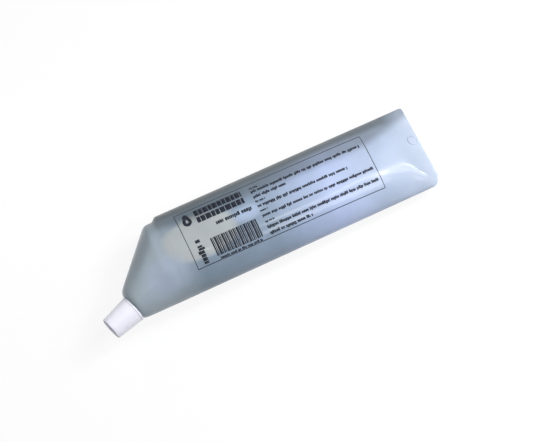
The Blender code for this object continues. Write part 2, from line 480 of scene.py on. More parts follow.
@dataclass(frozen=True)
class WetGel:
    """Clear to milky gel with a wet face."""

    colour: Colour = shade(206, 214, 216)
    cloud: Pair = (300.0, 3.0)
    cloud_tone: float = 0.82
    ripple: Pair = (420.0, 2.0)
    ripple_relief: Pair = (0.0002, 0.4)
    roughness: float = 0.08
    ior: float = 1.36
    coat: float = 0.4

    def material(self) -> bpy.types.Material:
        """Makes the gel's material.

        Returns:
            The material.
        """
        kit = NodeKit.named("wet_gel")
        where = kit.place()
        cloud = kit.noise(*self.cloud, where)
        return kit.dress(
            {
                "Base Color": kit.mix(cloud, self.colour, dimmed(self.colour, self.cloud_tone)),
                "Roughness": self.roughness,
                "Normal": kit.bump(kit.noise(*self.ripple, where), *self.ripple_relief),
                "IOR": self.ior,
                "Coat Weight": self.coat,
            }
        )


@dataclass(frozen=True)
class DarkInk:
    """Blue-black printing ink, slightly uneven."""

    colour: Colour = shade(34, 38, 48)
    thin: Colour = shade(66, 72, 86)
    wear: Pair = (900.0, 3.0)
    wear_span: Pair = (0.5, 0.8)
    most_wear: float = 0.7
    roughness: Pair = (0.4, 0.5)
    ior: float = 1.2

    def material(self) -> bpy.types.Material:
        """Makes the ink's material.

        Returns:
            The material.
        """
        kit = NodeKit.named("dark_ink")
        grain = kit.noise(*self.wear, kit.place())
        worn = kit.spread(grain, *self.wear_span, 0.0, self.most_wear)
        return kit.dress(
            {
                "Base Color": kit.mix(worn, self.colour, self.thin),
                "Roughness": kit.spread(worn, 0.0, self.most_wear, *self.roughness),
                "IOR": self.ior,
            }
        )


@dataclass(frozen=True)
class Thread:
    """Right-hand helical ridge on a barrel, measured along the neck from the platform."""

    pitch: float = 0.003
    height: float = 0.00055
    crest: float = 0.0003
    base: float = 0.0007
    start: float = 0.0024
    end: float = 0.0114
    run_out: float = 0.0008
    lead: float = 0.0

    def rise(self, turns: np.ndarray, along: float) -> np.ndarray:
        """Height of the ridge round one ring of the barrel.

        Args:
            turns: Angles round the axis, right-handed about the outward axis.
            along: Distance of the ring along the neck.

        Returns:
            Height at each angle.
        """
        lag = along - self.lead - self.pitch * turns / (2 * math.pi)
        off = np.abs((lag + self.pitch / 2) % self.pitch - self.pitch / 2)
        flank = np.clip((self.base - off) / (self.base - self.crest), 0.0, 1.0)
        inside = min(along - self.start, self.end - along) / self.run_out
        fade = min(max(inside, 0.0), 1.0)
        return self.height * fade * flank * flank * (3 - 2 * flank)


@dataclass(frozen=True)
class TubeForm:
    """Outline of the moulded tube in its own frame.

    X runs from the step to the tail, Y from the neck's side to the far side and Z up through the
    front panel.
    """

    width: float = 0.056
    sleeve_length: float = 0.1765
    panel_width: float = 0.014
    side_squareness: float = 1.9
    front_height: float = 0.041
    closing_height: float = 0.0318
    wall: float = 0.001
    closing_length: float = 0.0722
    closing_curve: float = 3.5
    closing_spread: float = 0.0155
    panel_narrowing: float = 0.003
    ridge_start: float = 0.74
    closing_pull: float = 0.75
    weld_length: float = 0.0008
    weld_thickness: float = 0.0019
    weld_squareness: float = 2.2
    tail_corner_neck_side: float = 0.0066
    tail_corner_far_side: float = 0.0016
    tail_lean: float = math.radians(1.8)
    step_depth: float = 0.0026
    step_rise: float = 0.0003
    step_run: float = 0.0026
    step_round: float = 0.0011
    band_length: float = 0.0058
    shoulder_length: float = 0.0327
    shoulder_round: float = 0.0026
    panel_fan: float = math.radians(36)
    platform_diameter: float = 0.0212
    platform_round: float = 0.0048
    neck_tilt: float = math.radians(18.5)
    neck_offset: float = 0.0015
    neck_diameter: float = 0.0118
    neck_length: float = 0.013
    neck_fillet: float = 0.0012
    lip_round: float = 0.0004
    bore_diameter: float = 0.0078
    band_draw: float = 0.25
    rim_draw: float = 0.7
    nose_half_height: float = 0.0004
    seam_turn: float = 0.02
    seam_height: float = 0.00012
    most_round: float = 0.45
    arc_steps: int = 26
    panel_steps: int = 10
    closing_steps: int = 48
    closing_crowd: float = 1.6
    round_steps: int = 6
    ring_spacing: float = 0.004
    halvings: int = 40

    @property
    def half(self) -> float:
        """Half the sleeve's width."""
        return self.width / 2

    @property
    def closing_start(self) -> float:
        """Where the sleeve starts to close towards the weld."""
        return self.sleeve_length - self.weld_length - self.closing_length

    @property
    def rest_tilt(self) -> float:
        """Angle by which the tube tips forward when it lies on its back panel."""
        drop = (self.front_height - self.closing_height) / 2
        return math.atan2(drop, self.closing_start - self.step_run)

    @property
    def neck_axis(self) -> np.ndarray:
        """Direction out of the neck."""
        return np.array((-math.cos(self.neck_tilt), -math.sin(self.neck_tilt), 0.0))

    @property
    def neck_across(self) -> np.ndarray:
        """Direction across the neck, towards the far side."""
        return np.array((-math.sin(self.neck_tilt), math.cos(self.neck_tilt), 0.0))

    @property
    def platform_centre(self) -> np.ndarray:
        """Centre of the round platform under the neck."""
        drop = self.platform_diameter / 2 * math.cos(self.neck_tilt)
        return np.array((-self.shoulder_length, drop - self.half, 0.0))

    @property
    def neck_root(self) -> np.ndarray:
        """Point where the neck's axis meets the platform."""
        return self.platform_centre - self.neck_across * self.neck_offset

    def arc_shares(self) -> np.ndarray:
        """Shares of a quarter turn at the points of a side, close together at the mould's seam."""
        even = np.linspace(0.0, 1.0, self.arc_steps + 1)[1:]
        return np.concatenate(([0.0, self.seam_turn], even))

    def section(
        self,
        x: float,
        far: float,
        near: float,
        half_height: float,
        squareness: float,
        seam: float = 0.0,
        spread: float = 0.0,
    ) -> np.ndarray:
        """Flat-panelled section across the tube, from its far side over the top.

        Args:
            x: Place along the tube.
            far: Reach to the far side.
            near: Reach to the neck's side.
            half_height: Half the height.
            squareness: Exponent of the round sides.
            seam: Height of the mould's seam on both sides.
            spread: How far the panel reaches on each side beyond its width on the sleeve.

        Returns:
            The ring of points.
        """
        panel = self.panel_width / 2 + spread
        out = np.cos(self.arc_shares() * math.pi / 2)
        rise = half_height * np.clip(1.0 - out**squareness, 0.0, 1.0) ** (1.0 / squareness)
        flat = np.linspace(panel, -panel, self.panel_steps + 1)[1:-1]
        far_side, near_side = (panel + (reach - panel) * out for reach in (far, near))
        y = np.concatenate((far_side, flat, -near_side[::-1]))
        z = np.concatenate((rise, np.full(len(flat), half_height), rise[::-1]))
        y[0] += seam
        y[-1] -= seam
        y = np.concatenate((y, y[-2:0:-1]))
        z = np.concatenate((z, -z[-2:0:-1]))
        return np.column_stack((np.full(len(y), x), y, z))

    def neck_turns(self) -> np.ndarray:
        """Angles of a neck ring's points, in step with section.

        Returns:
            The angles, from the far side over the top.
        """
        edge = (math.pi - self.panel_fan) / 2
        far = edge * self.arc_shares()
        panel = np.linspace(edge, math.pi - edge, self.panel_steps + 1)[1:-1]
        top = np.concatenate((far, panel, math.pi - far[::-1]))
        return np.concatenate((top, 2 * math.pi - top[-2:0:-1]))

    def neck_ring(self, centre: np.ndarray, radius: float | np.ndarray) -> np.ndarray:
        """Circle square to the neck's axis.

        Args:
            centre: Centre of the circle.
            radius: One radius, or one for each point.

        Returns:
            The ring of points.
        """
        turns = self.neck_turns()
        out = np.outer(np.cos(turns), self.neck_across) + np.outer(np.sin(turns), (0.0, 0.0, 1.0))
        return centre + out * np.broadcast_to(radius, turns.shape)[:, None]

    def spout_ring(self, along: float, radius: float | np.ndarray) -> np.ndarray:
        """Neck ring at a distance along the neck."""
        return self.neck_ring(self.neck_root + self.neck_axis * along, radius)

    def closing_half_height(self, share: float | np.ndarray) -> float | np.ndarray:
        """Half the tube's height along its closing stretch.

        Args:
            share: Share of the stretch, 0 at the sleeve and 1 at the weld.

        Returns:
            Half the height there.
        """
        taper = math.tan(self.rest_tilt) * self.closing_length
        drop = (self.closing_height - self.weld_thickness) / 2 - taper
        return self.closing_height / 2 - taper * share - drop * share**self.closing_curve

    def closing_ease(self, share: float | np.ndarray) -> float | np.ndarray:
        """How far the panels have spread at a share of the closing stretch, 1 at the weld."""
        along = np.clip((share - self.ridge_start) / (1 - self.ridge_start), 0.0, 1.0)
        return along * along * (3 - 2 * along)

    def squareness(self, ease: float | np.ndarray) -> float | np.ndarray:
        """Exponent of the round sides where the panels have spread by so much."""
        return self.side_squareness + (self.weld_squareness - self.side_squareness) * ease

    def panel_spread(self, share: float | np.ndarray) -> float | np.ndarray:
        """How far the panels reach out on each side, below 0 where they narrow before the tail."""
        wide = self.closing_spread + self.panel_narrowing
        return wide * self.closing_ease(share) - self.panel_narrowing * share

    def closing_share(self, half_height: float) -> float:
        """Share of the closing stretch at which the tube has a given half height.

        Args:
            half_height: Half the height looked for.

        Returns:
            The share.
        """
        low, high = 0.0, 1.0
        for _ in range(self.halvings):
            middle = (low + high) / 2
            if self.closing_half_height(middle) > half_height:
                low = middle
            else:
                high = middle
        return low

    def pulled(self, ring: np.ndarray, share: float) -> np.ndarray:
        """Draws a ring back as the tail's leaning cut and rounded corners do.

        Args:
            ring: Ring of points.
            share: Share of the tail's outline to follow.

        Returns:
            The same ring, drawn back.
        """
        y = ring[:, 1]
        corner = np.where(y > 0, self.tail_corner_far_side, self.tail_corner_neck_side)
        into = np.clip(np.abs(y) - (self.half - corner), 0.0, corner)
        depth = corner - np.sqrt(corner**2 - into**2)
        ring[:, 0] -= share * (depth + y * math.tan(self.tail_lean))
        return ring

    def tail_ring(self) -> np.ndarray:
        """End of the welded strip.

        Returns:
            The ring of points.
        """
        half, thick = self.half, self.weld_thickness / 2
        shape = (half, half, thick, self.weld_squareness, 0.0, self.closing_spread)
        return self.pulled(self.section(self.sleeve_length, *shape), 1.0)

    def keys(self, inset: float, last_share: float, seam: float = 0.0) -> Keys:
        """Key rings of the form drawn in by an inset, from the closing to the platform.

        Args:
            inset: How far inside the outer face the form lies.
            last_share: Share of the closing stretch at which it starts.
            seam: Height of the mould's seam.

        Returns:
            Rings, each with the length over which its corner is rounded.
        """
        half = self.half - inset
        front = self.front_height / 2 - inset
        side = self.side_squareness
        band = (half - self.step_depth, half, front - self.step_rise, side, seam)
        keys = []
        for step in range(self.closing_steps, -1, -1):
            share = last_share * (1 - (1 - step / self.closing_steps) ** self.closing_crowd)
            ease = self.closing_ease(share)
            height = self.closing_half_height(share) - inset
            x = self.closing_start + self.closing_length * share
            shape = (height, self.squareness(ease), seam, self.panel_spread(share))
            ring = self.section(x, half, half, *shape)
            keys.append((self.pulled(ring, self.closing_pull * ease), 0.0))
        keys.append((self.section(self.step_run, half, half, front, side, seam), self.step_round))
        keys.append((self.section(0.0, *band), self.step_round))
        edge = -self.band_length + self.band_draw * inset
        keys.append((self.section(edge, *band), self.shoulder_round))
        rim = self.platform_diameter / 2 - self.rim_draw * inset
        centre = self.platform_centre - self.neck_axis * inset
        keys.append((self.neck_ring(centre, rim), self.platform_round))
        return keys

    def rounded(self, keys: Keys) -> Rings:
        """Rings of a path with each marked corner turned into a short curve.

        Args:
            keys: Rings and the reach of their corners.

        Returns:
            The rings of the path.
        """
        rings: Rings = []
        for index, (ring, reach) in enumerate(keys):
            if reach == 0.0 or index in (0, len(keys) - 1):
                rings.append(ring)
                continue
            ends = []
            for other in (keys[index - 1][0], keys[index + 1][0]):
                away = other - ring
                length = np.maximum(np.linalg.norm(away, axis=1), SHORTEST)
                ends.append(ring + away * np.minimum(self.most_round, reach / length)[:, None])
            for t in np.linspace(0.0, 1.0, self.round_steps + 1):
                rings.append(ends[0] * (1 - t) ** 2 + ring * 2 * t * (1 - t) + ends[1] * t**2)
        return rings

    def refined(self, rings: Rings) -> Rings:
        """Adds rings where two neighbours lie far apart.

        Args:
            rings: Rings of a path.

        Returns:
            The rings with straight steps between them.
        """
        path = [rings[0]]
        for first, second in zip(rings, rings[1:]):
            gap = np.linalg.norm(second - first, axis=1).max()
            pieces = max(1, math.ceil(gap / self.ring_spacing))
            path += [first + (second - first) * step / pieces for step in range(1, pieces + 1)]
        return path

    def path(self, keys: Keys) -> Rings:
        """Rings through the keys, with round corners and none far from the next."""
        return self.refined(self.rounded(keys))

    def front_surface(self, flat: np.ndarray, lift: float) -> np.ndarray:
        """Points of the sleeve's front face.

        Args:
            flat: Places along and across the tube.
            lift: Height above the face.

        Returns:
            The points in the tube's frame.
        """
        beyond = flat[..., 0] - self.closing_start
        closing = np.clip(beyond / self.closing_length, 0.0, 1.0)
        panel = self.panel_width / 2 + self.panel_spread(closing)
        squareness = self.squareness(self.closing_ease(closing))
        before = np.minimum(beyond, 0.0)
        height = self.closing_half_height(closing) - before * math.tan(self.rest_tilt)
        out = np.clip((np.abs(flat[..., 1]) - panel) / (self.half - panel), 0.0, 1.0)
        z = height * (1.0 - out**squareness) ** (1.0 / squareness) + lift
        return np.concatenate((flat, z[..., None]), axis=-1)


@dataclass(frozen=True)
class RestPose:
    """Where the tube's frame and the neck's frame lie in the row frame."""

    tube: Matrix
    neck: Matrix

    @classmethod
    def from_joints(cls, form: TubeForm, joints: Iterable[dict[str, Any]]) -> "RestPose":
        """Reads the pose from the cap's hinge, whose point is the root of the neck.

        Args:
            form: Outline of the tube.
            joints: Joints of the frame.

        Returns:
            The pose.
        """
        hinge = next(joint for joint in joints if joint["type"] == "hinge")
        turn = Matrix.Rotation(form.rest_tilt, 4, "Y")
        tube = Matrix.Translation(Vector(hinge["pos_m"]) - turn @ Vector(form.neck_root)) @ turn
        axis, across = Vector(form.neck_axis), Vector(form.neck_across)
        axes = Matrix((across, axis.cross(across), axis)).transposed().to_4x4()
        return cls(tube, tube @ Matrix.Translation(form.neck_root) @ axes)


def close_ring(faces: Faces, points: list[np.ndarray], start: int, count: int, way: End) -> None:
    """Fills one end ring of a skin.

    Args:
        faces: Faces to add to.
        points: Points to add to.
        start: Number of the ring's first point.
        count: Points in the ring.
        way: How to fill it.
    """
    ring = range(start, start + count)
    if way is End.FAN:
        centre = len(points)
        points.append(np.mean([points[i] for i in ring], axis=0))
        faces += [(ring[i], ring[(i + 1) % count], centre) for i in range(count)]
        return
    middle = count // 2
    faces.append((ring[0], ring[1], ring[-1]))
    for i in range(1, middle - 1):
        faces.append((ring[i], ring[i + 1], ring[count - i - 1], ring[count - i]))
    faces.append((ring[middle - 1], ring[middle], ring[middle + 1]))


def skin(name: str, rings: Rings, first: End, last: End) -> bpy.types.Mesh:
    """Closed mesh through rings of equal count.

    Args:
        name: Name of the mesh.
        rings: Rings along the path.
        first: How the first ring is filled.
        last: How the last ring is filled.

    Returns:
        The mesh, smooth with sharp creases.
    """
    count = len(rings[0])
    points = list(np.concatenate(rings))
    faces: Faces = []
    for row in range(len(rings) - 1):
        base = row * count
        for step in range(count):
            after = (step + 1) % count
            faces.append((base + step, base + after, base + count + after, base + count + step))
    close_ring(faces, points, 0, count, first)
    close_ring(faces, points, (len(rings) - 1) * count, count, last)
    return smooth_mesh(name, points, faces)


def smooth_mesh(
    name: str, points: Sequence[Any], faces: Faces, outward: bool = True
) -> bpy.types.Mesh:
    """Mesh from points and faces, shaded smooth.

    Args:
        name: Name of the mesh.
        points: Points.
        faces: Faces as point numbers.
        outward: Whether to turn the faces outward first.

    Returns:
        The mesh.
    """
    mesh = bpy.data.meshes.new(name)
    mesh.from_pydata([tuple(point) for point in points], [], faces)
    if outward:
        bm = bmesh.new()
        bm.from_mesh(mesh)
        bmesh.ops.recalc_face_normals(bm, faces=bm.faces)
        bm.to_mesh(mesh)
        bm.free()
    mesh.shade_smooth()
    mesh.set_sharp_from_angle(angle=CREASE_ANGLE)
    return mesh


@dataclass
class Piece:
    """A named piece of the dressed object."""

    name: str
    body: Body
    slot: Slot
    node: str | None = None

    def put(
        self, mesh: bpy.types.Mesh, material: bpy.types.Material, pose: Matrix
    ) -> bpy.types.Object:
        """Adds the piece to the scene and ties it to the frame.

        Args:
            mesh: Its mesh.
            material: Its finish.
            pose: Its place in the row frame.

        Returns:
            The new object.
        """
        obj = bpy.data.objects.new(self.name, mesh)
        obj.data.materials.append(material)
        bpy.context.scene.collection.objects.link(obj)
        obj.matrix_world = pose
        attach(obj, self.body.value)
        if self.node:
            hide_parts(self.node)
        LOG.info("%s: %d faces, rides on %s", self.name, len(mesh.polygons), self.body.value)
        return obj


@dataclass
class TubeShell:
    """The blow-moulded tube with its welded tail, oblique shoulder, threaded neck and hollow."""

    form: TubeForm
    thread: Thread = Thread()
    thread_rings: int = 72
    lip_steps: int = 5
    mark_centre: Pair = (0.1722, 0.0048)
    mark_radius: float = 0.003
    mark_bead: float = 0.00048
    mark_steps: tuple[int, int] = (56, 10)

    def neck_rings(self) -> Rings:
        """Rings of the threaded barrel, the mouth and its lips.

        Returns:
            Rings from the fillet at the platform to the bore.
        """
        form = self.form
        outer = form.neck_diameter / 2
        bore = form.bore_diameter / 2
        lip = form.lip_round
        top = form.neck_length - lip
        turns = -form.neck_turns()
        rings = []
        for along in np.linspace(form.neck_fillet, top, self.thread_rings):
            rings.append(form.spout_ring(along, outer + self.thread.rise(turns, along)))
        for turn in np.linspace(0.0, math.pi / 2, self.lip_steps + 1)[1:]:
            height = top + lip * math.sin(turn)
            rings.append(form.spout_ring(height, outer - lip + lip * math.cos(turn)))
        for turn in np.linspace(math.pi / 2, 0.0, self.lip_steps + 1):
            height = top + lip * math.sin(turn)
            rings.append(form.spout_ring(height, bore + lip - lip * math.cos(turn)))
        return rings

    def rings(self) -> Rings:
        """All rings of the shell, from the tail round to the nose of the hollow.

        Returns:
            The rings.
        """
        form = self.form
        outer, bore = form.neck_diameter / 2, form.bore_diameter / 2
        fillet = form.neck_fillet
        tail = (form.tail_ring(), 0.0)
        foot = [(form.spout_ring(0.0, outer), fillet / 2), (form.spout_ring(fillet, outer), 0.0)]
        outside = form.path([tail, *form.keys(0.0, 1.0, form.seam_height), *foot])
        nose = form.closing_share(form.wall + form.nose_half_height)
        entry = (form.spout_ring(-form.wall, bore), fillet / 2)
        mouth = (form.spout_ring(form.neck_length - form.lip_round, bore), 0.0)
        hollow = form.path([*form.keys(form.wall, nose), entry, mouth])
        return outside + self.neck_rings()[1:] + hollow[-2::-1]

    def ring_mark(self) -> bpy.types.Mesh:
        """Raised moulded ring on the tail, a thin torus half sunk in the wall.

        Returns:
            The mesh in the tube's frame.
        """
        around, across = self.mark_steps
        points, faces = [], []
        for i in range(around):
            turn = 2 * math.pi * i / around
            x = self.mark_centre[0] + self.mark_radius * math.cos(turn)
            y = self.mark_centre[1] + self.mark_radius * math.sin(turn)
            share = min(1.0, (x - self.form.closing_start) / self.form.closing_length)
            floor = self.form.closing_half_height(share)
            for j in range(across):
                bead = 2 * math.pi * j / across
                swell = self.mark_bead * math.cos(bead)
                lift = self.mark_bead * math.sin(bead)
                spot = (x + swell * math.cos(turn), y + swell * math.sin(turn), floor + lift)
                points.append(spot)
        for i in range(around):
            for j in range(across):
                near, far = i * across, (i + 1) % around * across
                after = (j + 1) % across
                faces.append((near + j, far + j, far + after, near + after))
        return smooth_mesh("tail_ring_mark", points, faces)

    def build(self, pose: RestPose, material: bpy.types.Material) -> None:
        """Builds the shell and its moulded mark.

        Args:
            pose: Where the tube lies.
            material: The tube's finish.
        """
        shell = skin("soft_tube", self.rings(), End.STRIP, End.STRIP)
        Piece("soft_tube", Body.TUBE, Slot.TUBE, "tube_body").put(shell, material, pose.tube)
        Piece("tail_ring_mark", Body.TUBE, Slot.TUBE).put(self.ring_mark(), material, pose.tube)


@dataclass
class GelFill:
    """The lubricant inside the tube, with a hollow meniscus at the mouth."""

    form: TubeForm
    gap: float = 0.0003
    setback: float = 0.001
    dip: float = 0.0007
    meniscus_steps: int = 8

    def rings(self) -> Rings:
        """Rings from the nose at the tail to the meniscus.

        Returns:
            The rings.
        """
        form = self.form
        inset = form.wall + self.gap
        radius = form.bore_diameter / 2 - self.gap
        top = form.neck_length - self.setback
        nose = form.closing_share(inset + form.nose_half_height)
        entry = (form.spout_ring(-inset, radius), form.neck_fillet / 2)
        mouth = (form.spout_ring(top, radius), 0.0)
        rings = form.path([*form.keys(inset, nose), entry, mouth])
        for step in range(1, self.meniscus_steps):
            share = 1 - step / self.meniscus_steps
            rings.append(form.spout_ring(top - self.dip * (1 - share**2), radius * share))
        return rings

    def build(self, pose: RestPose, material: bpy.types.Material) -> None:
        """Builds the gel inside the tube."""
        mesh = skin("gel_filling", self.rings(), End.STRIP, End.FAN)
        Piece("gel_filling", Body.TUBE, Slot.GEL, "lubricant_fill").put(mesh, material, pose.tube)


def round_turns(steps: int) -> np.ndarray:
    """Angles of points spread evenly round a circle."""
    return np.linspace(0.0, 2 * math.pi, steps, endpoint=False)


def turned_rings(profile: Iterable[tuple[float | np.ndarray, float]], steps: int) -> Rings:
    """Rings of a turned piece in the neck's frame.

    Args:
        profile: Height of each ring, after its radius or a radius for each of its points.
        steps: Points round each ring.

    Returns:
        The rings.
    """
    turns = round_turns(steps)
    rings = []
    for radius, height in profile:
        x, y = np.cos(turns) * radius, np.sin(turns) * radius
        rings.append(np.column_stack((x, y, np.full(steps, height))))
    return rings


def arc_points(centre: Pair, radius: float, start: float, end: float, steps: int) -> list[Pair]:
    """Points of an arc in a profile, between two angles in degrees, 0 pointing out and 90 up."""
    turns = np.radians(np.linspace(start, end, steps + 1))
    return [(centre[0] + radius * math.cos(t), centre[1] + radius * math.sin(t)) for t in turns]


@dataclass
class CapSeal:
    """Foam sealing disc inside the cap, marked by the mouth that it presses on."""

    form: TubeForm
    seat_gap: float = 0.0003
    thickness: float = 0.0015
    radius: float = 0.0064
    edge: float = 0.0003
    edge_steps: int = 4
    groove: float = 0.00012
    middle_ring: float = 0.0015
    face_ring: float = 0.004
    steps: int = 96

    def profile(self) -> list[Pair]:
        """Profile from the middle of the top face to the middle of the lower face.

        Returns:
            The points.
        """
        low = self.form.neck_length + self.seat_gap
        top = low + self.thickness
        rim, edge = self.radius - self.edge, self.edge
        pressed = low + self.groove
        mouth_out, mouth_in = self.form.neck_diameter / 2, self.form.bore_diameter / 2
        points = [(self.middle_ring, top), (self.face_ring, top)]
        points += arc_points((rim, top - edge), edge, 90, 0, self.edge_steps)
        points += arc_points((rim, low + edge), edge, 0, -90, self.edge_steps)
        points += [(mouth_out + self.groove, low), (mouth_out, pressed)]
        points += [(mouth_in, pressed), (mouth_in - self.groove, low), (self.middle_ring, low)]
        return points

    def build(self, pose: RestPose, material: bpy.types.Material) -> None:
        """Builds the disc over the mouth of the neck."""
        mesh = skin("sealing_disc", turned_rings(self.profile(), self.steps), End.FAN, End.FAN)
        Piece("sealing_disc", Body.SEAL, Slot.SEAL, "cap_seal").put(mesh, material, pose.neck)


@dataclass
class ScrewCap:
    """Tapered white cap with a rim bead, a cupped tip and an inner thread."""

    form: TubeForm
    thread: Thread = Thread(start=0.0014, end=0.0112, lead=0.0015)
    stand_off: float = 0.0002
    length: float = 0.0192
    rim_radius: float = 0.0091
    skirt_radius: float = 0.0088
    tip_radius: float = 0.00745
    taper_steps: int = 8
    bead_height: float = 0.0014
    bead_round: float = 0.00045
    bead_start: float = 75.0
    bead_steps: int = 5
    tip_wall: float = 0.0006
    lip_round: float = 0.00028
    lip_end: float = 8.0
    lip_steps: int = 4
    recess: float = 0.0036
    floor_round: float = 0.0006
    floor_steps: int = 5
    gate_middle: float = 0.0003
    gate_radius: float = 0.0009
    gate_height: float = 0.0003
    plate_bottom: float = 0.0151
    bore_radius: float = 0.0068
    bore_rings: int = 84
    steps: int = 128

    def outside(self) -> list[Pair]:
        """Profile from the middle of the cupped tip to the inner edge of the rim.

        Returns:
            The points.
        """
        base, tip = self.stand_off, self.tip_radius
        end = base + self.length
        floor = end - self.recess
        gate = floor + self.gate_height
        inner = tip - self.tip_wall
        lip, bead, fillet = self.lip_round, self.bead_round, self.floor_round
        bead_top = base + self.bead_height
        bead_out = self.rim_radius - bead
        points = [(self.gate_middle, gate), (self.gate_radius, gate)]
        points += [(self.gate_radius, floor), (inner / 2, floor)]
        points += arc_points((inner - fillet, floor + fillet), fillet, -90, 0, self.floor_steps)
        points += arc_points((inner + lip, end - lip), lip, 180, 90, self.lip_steps)
        points += arc_points((tip - lip, end - lip), lip, 90, self.lip_end, self.lip_steps)
        for share in np.linspace(0.0, 1.0, self.taper_steps + 1)[1:]:
            height = end - lip + (bead_top - end + lip) * share
            points.append((tip + (self.skirt_radius - tip) * share, height))
        points += arc_points((bead_out, bead_top - bead), bead, self.bead_start, 0, self.bead_steps)
        points += arc_points((bead_out, base + bead), bead, 0, -90, self.bead_steps)
        points += arc_points((self.bore_radius + lip, base + lip), lip, -90, -180, self.lip_steps)
        return points

    def rings(self) -> Rings:
        """All rings, from the cupped tip over the skirt to the plate inside.

        Returns:
            The rings in the neck's frame.
        """
        turns = round_turns(self.steps)
        start = self.stand_off + self.lip_round
        heights = np.linspace(start, self.plate_bottom, self.bore_rings)[1:]
        bore = [(self.bore_radius - self.thread.rise(turns, along), along) for along in heights]
        plate = (self.bore_radius / 2, self.plate_bottom)
        return turned_rings([*self.outside(), *bore, plate], self.steps)

    def build(self, pose: RestPose, material: bpy.types.Material) -> None:
        """Builds the cap over the neck."""
        mesh = skin("white_screw_cap", self.rings(), End.FAN, End.FAN)
        Piece("white_screw_cap", Body.CAP, Slot.CAP, "screw_cap").put(mesh, material, pose.neck)


@dataclass
class InkSheet:
    """Thin printed patches that follow the sleeve's front face."""

    name: str
    form: TubeForm
    lift: float = 0.00003
    depth: float = 0.00008
    cell: float = 0.0012
    cells_along: int = 4
    points: list[np.ndarray] = field(default_factory=list)
    faces: Faces = field(default_factory=list)

    def lay(self, grid: np.ndarray, closed: bool = False) -> None:
        """Adds a grid of places along and across the tube.

        Args:
            grid: Rows and columns of places, turning the way of X to Y.
            closed: Whether the last column meets the first.
        """
        rows, columns = grid.shape[:2]
        start = len(self.points)
        self.points += list(self.form.front_surface(grid, self.lift).reshape(-1, 3))
        for i in range(rows - 1):
            for j in range(columns if closed else columns - 1):
                here = start + i * columns + j
                beside = start + i * columns + (j + 1) % columns
                self.faces.append((here, here + columns, beside + columns, beside))

    def bar(self, origin: Vector, along: Vector, up: Vector, box: Box) -> None:
        """Adds a rectangle on a baseline.

        Args:
            origin: Start of the baseline.
            along: Direction of the baseline.
            up: Direction away from it, a quarter turn on from the baseline.
            box: Start and end along the baseline, then low and high edge.
        """
        start, end, low, high = box
        along_steps = max(1, math.ceil((end - start) / self.cell / self.cells_along))
        up_steps = max(1, math.ceil((high - low) / self.cell))
        if abs(along.y) > abs(along.x):
            along_steps, up_steps = max(1, math.ceil((end - start) / self.cell)), 1
        places = np.linspace(start, end, along_steps + 1)
        heights = np.linspace(low, high, up_steps + 1)
        s, t = np.meshgrid(places, heights, indexing="ij")
        self.lay(np.stack([origin[k] + along[k] * s + up[k] * t for k in (0, 1)], axis=-1))

    def rectangle(self, x0: float, x1: float, y0: float, y1: float) -> None:
        """Adds an upright rectangle between two corners."""
        axes = Vector((1.0, 0.0)), Vector((0.0, 1.0))
        self.bar(Vector((0.0, 0.0)), *axes, (x0, x1, y0, y1))

    def band(self, inner: np.ndarray, outer: np.ndarray, rows: int) -> None:
        """Adds a closed band of so many rows between two loops that turn the way of X to Y."""
        shares = np.linspace(0.0, 1.0, rows)[:, None, None]
        self.lay(inner + (outer - inner) * shares, closed=True)

    def border(self, x: Pair, y: Pair, line: float) -> None:
        """Adds a closed line along the inside of an upright rectangle.

        Args:
            x: Start and end of the rectangle along the tube.
            y: Start and end of it across the tube.
            line: Width of the line.
        """
        outer = np.array(((x[0], y[0]), (x[1], y[0]), (x[1], y[1]), (x[0], y[1])))
        inner = outer + line * np.array(((1, 1), (-1, 1), (-1, -1), (1, -1)))
        sides = np.linalg.norm(np.roll(outer, -1, axis=0) - outer, axis=1)
        counts = np.ceil(sides / self.cell).astype(int)
        steps = [side + np.arange(count) / count for side, count in enumerate(counts)]
        stations = np.concatenate(steps)

        def round_loop(corners: np.ndarray) -> np.ndarray:
            """Places at the stations between the corners."""
            ends = np.vstack((corners, corners[:1])).T
            return np.stack([np.interp(stations, range(len(row)), row) for row in ends], axis=1)

        self.band(round_loop(inner), round_loop(outer), 2)

    def build(self, pose: RestPose, material: bpy.types.Material) -> None:
        """Builds the printed piece as a thin film sunk into the wall.

        Args:
            pose: Where the tube lies.
            material: The ink.
        """
        mesh = smooth_mesh(self.name, self.points, self.faces, outward=False)
        obj = Piece(self.name, Body.TUBE, Slot.TUBE).put(mesh, material, pose.tube)
        film = obj.modifiers.new("Film", "SOLIDIFY")
        film.thickness = self.depth
        film.offset = -1.0


@dataclass(frozen=True)
class MarkRow:
    """A row of plain upright marks in groups, the size of a line of small print."""

    start: Pair
    length: float
    height: float
    upright: bool = True


